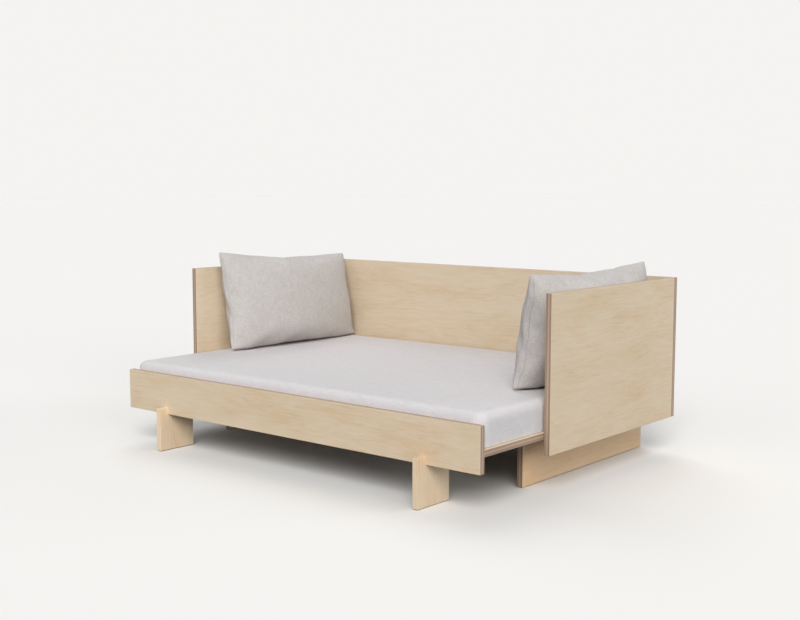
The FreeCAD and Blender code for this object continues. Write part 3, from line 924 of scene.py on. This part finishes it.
# %% [markdown]
# The pillows stand on their long sides on the mattress and lean back against the arms. Where a pillow
# meets the mattress or an arm it is pressed flat: the distance to the plane is bent so that it never
# falls below nothing, which also leaves a soft round edge at the contact. No two filled pillows are
# alike, so each has its own size, depth, lean and turn.

# %% Shape a pillow
UNIT_DEPTH = 2.0
FILLING_SHIFT = 0.05


def shape_pillow(pillow, side, size, depths, rise, taper):
    """Gives a pillow its size, the depth in front and behind, a higher end and thinner ends."""
    points = fit_size(points_of(pillow), (*size, UNIT_DEPTH))
    along = points[:, X] / (size[0] / 2)
    points[:, X] -= FILLING_SHIFT * (1 - along ** 2)
    foot = points[:, Y].min()
    points[:, Y] = foot + (points[:, Y] - foot) * (1 - rise * along)
    front, behind = depths
    points[:, Z] *= np.where(points[:, Z] * side > 0, behind, front) * (1 - taper * along ** 4)
    set_points(pillow, points)


# %% Set it up
STAND_UP = Matrix.Rotation(math.radians(90), 4, "Z") @ Matrix.Rotation(math.radians(90), 4, "X")
ARM_GAP = 0.0005
ARM_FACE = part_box("right_arm_panel")[0].x - ARM_GAP
FOOT_SOFTNESS = 0.009
SIDE_SOFTNESS = 0.004
EAR_LIFT = 0.009
EAR_HEIGHT = 0.15
EAR_SLOPE = 3
EAR_START = 2


def pressed(distance, softness):
    """A distance that flattens out towards nothing instead of going below it."""
    return softness * np.logaddexp(0, distance / softness)


def lift_ears(points, ground):
    """Raises the lower corners a little: they hold less filling and don't quite touch the bed."""
    middle = (points[:, Y].max() + points[:, Y].min()) / 2
    half = (points[:, Y].max() - points[:, Y].min()) / 2
    out = np.abs(points[:, Y] - middle) / half
    near_end = np.clip(out * EAR_SLOPE - EAR_START, 0, 1) ** 2
    low_down = np.clip(1 - (points[:, Z] - ground) / EAR_HEIGHT, 0, 1)
    points[:, Z] += EAR_LIFT * near_end * low_down


def set_up(pillow, side, lean, yaw, centre):
    """Stands a pillow up, leans it on its arm and presses it into place."""
    lean_turn = Matrix.Rotation(math.radians(lean) * side, 4, "Y")
    yaw_turn = Matrix.Rotation(math.radians(yaw) * -side, 4, "Z")
    pillow.data.transform(Matrix.Translation(centre) @ yaw_turn @ lean_turn @ STAND_UP)
    points = points_of(pillow)
    ground = flat_top + crown(points)
    points[:, Z] = ground + pressed(points[:, Z] - ground, FOOT_SOFTNESS)
    lift_ears(points, ground)
    points[:, X] = side * (ARM_FACE - pressed(ARM_FACE - side * points[:, X], SIDE_SOFTNESS))
    set_points(pillow, points)


print("arms' inner faces at", round(ARM_FACE, 4))

# %% Place the two pillows
PILLOW_SHAPES = {
    # pillow: side, length and height, depth in front and behind, rise of the end, taper
    "left_pillow": (-1, (0.882, 0.488), (0.118, 0.118), 0.045, 0.35),
    "right_pillow": (1, (0.862, 0.502), (0.077, 0.15), -0.01, 0.0),
}
PILLOW_STANDS = {
    # pillow: side, lean and yaw in degrees, centre
    "left_pillow": (-1, 10.0, -1.5, (-0.911, 0.258, 0.618)),
    "right_pillow": (1, 9.8, 2.5, (0.88, 0.221, 0.62)),
}
for pillow in (left_pillow, right_pillow):
    shape_pillow(pillow, *PILLOW_SHAPES[pillow.name])
    set_up(pillow, *PILLOW_STANDS[pillow.name])
    body = pillow.name
    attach(pillow, body)
    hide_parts(body + "_insert", body + "_cover")
    points = points_of(pillow)
    print(body, points.min(axis=0).round(3), points.max(axis=0).round(3))

# closed, the folded back section stands right behind the left pillow and would squeeze it a little; here
# only the pillow's front is measured and the pillow gets a mesh of its own
pillow_front = points_of(left_pillow)[:, Y].min()
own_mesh(left_pillow)

# %% [markdown]
# ## The studio
# The bed stands on a pale floor. A broad soft lamp from the right front does most of the lighting, a
# few weak ones open the shadows, and an even sky fills the rest. All of it comes from far away, so the
# empty floor has one brightness all over: its colour can be worked out from the light, and the backdrop
# that the camera sees takes the same value, so that floor and backdrop join without a line. Light that
# bounces meets a greyer floor, as it would in a room whose floor is only white where the bed stands.

# %% Lamps
BACKDROP = srgb(244, 243, 241)
SKY = (0.217, 0.231, 0.251)
LAMPS = {
    # name: compass turn from the front towards +X, height, strength, spread, in degrees
    "key_lamp": (35, 36.5, 0.73, 34),
    "low_side_lamp": (70, 12, 0.23, 28),
    "low_back_lamp": (135, 12, 0.14, 28),
    "back_left_lamp": (225, 50, 0.27, 40),
    "front_fill_lamp": (345, 25, 0.08, 40),
}


def far_lamp(name, turn, height, strength, spread):
    """A lamp so far away that it lights everything alike; returns what it gives to the floor."""
    bpy.ops.object.select_all(action="DESELECT")
    heading = (math.radians(90 - height), 0, math.radians(turn))
    bpy.ops.object.light_add(type="SUN", rotation=heading)
    lamp = bpy.context.object
    lamp.name = name
    lamp.data.energy = strength * math.pi
    lamp.data.angle = math.radians(spread)
    return strength * math.sin(math.radians(height))


lamp_light = sum(far_lamp(name, *setting) for name, setting in LAMPS.items())
floor_light = [level + lamp_light for level in SKY]
print("light on the floor", [round(level, 3) for level in floor_light])

# %% Floor and sky
FLOOR_SIZE = 160
FLOOR_BOUNCE = (0.19, 0.2, 0.215, 1.0)


def seen_directly(nodes):
    """1 for what the camera sees, also in metal or through glass; 0 for light that bounces."""
    rays = nodes.new("ShaderNodeLightPath").outputs
    seen = Shade(rays["Is Camera Ray"])
    seen = seen.calculate("MAXIMUM", seen, Shade(rays["Is Glossy Ray"]))
    return seen.calculate("MAXIMUM", seen, Shade(rays["Is Transmission Ray"]))


bpy.ops.object.select_all(action="DESELECT")
bpy.ops.mesh.primitive_plane_add(size=FLOOR_SIZE)
floor = bpy.context.object
floor.name = "floor"
paper, shader, place = new_finish("floor_paper")
paper_colour = (*(level / light for level, light in zip(BACKDROP, floor_light)), 1.0)
feed(shader, "Base Color", mixed(seen_directly(paper.node_tree.nodes), FLOOR_BOUNCE, paper_colour))
shader.inputs["Roughness"].default_value = 1.0
shader.inputs["Specular IOR Level"].default_value = 0.0
floor.data.materials.append(paper)

world = bpy.data.worlds.new("studio")
bpy.context.scene.world = world
world.use_nodes = True
background = world.node_tree.nodes["Background"]
seen = seen_directly(world.node_tree.nodes)
feed(background, "Color", mixed(seen, (*SKY, 1.0), BACKDROP))
bpy.context.scene.view_settings.view_transform = "Standard"
print("floor colour", [round(level, 3) for level in paper_colour[:3]])
